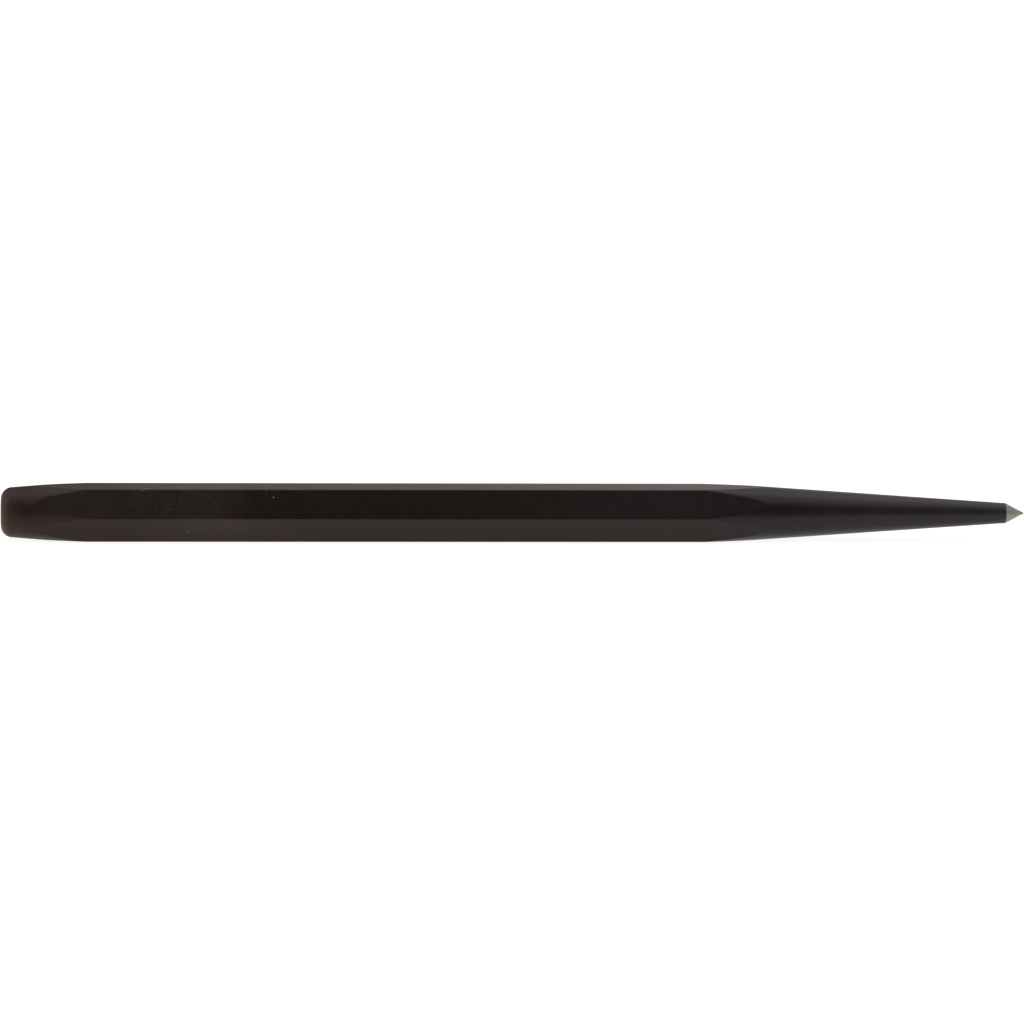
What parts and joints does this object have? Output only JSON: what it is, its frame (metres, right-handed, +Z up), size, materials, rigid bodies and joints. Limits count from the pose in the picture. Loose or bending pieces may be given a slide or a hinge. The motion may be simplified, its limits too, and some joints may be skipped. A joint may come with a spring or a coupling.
{
  "type": "prick punch",
  "caption": "Slim hexagonal steel punch with a turned round-edged head, a long taper and a bright ground point, struck with a hammer to mark metal.",
  "frame": {"origin": "on the surface that the punch lies on, under the middle of its length", "axes": "+X along the punch's axis from the struck face to the point, +Z up, square to the flat that it lies on"},
  "size_m": [0.1524, 0.009, 0.0079],
  "materials": {
    "black_oxide_steel": "satin black oxide on drawn and turned tool steel, faintly brown towards the head",
    "ground_hard_metal": "bare warm grey metal, ground round the point"
  },
  "bodies": {
    "root": {"shank": "black_oxide_steel", "point_insert": "ground_hard_metal"}
  },
  "joints": []
}
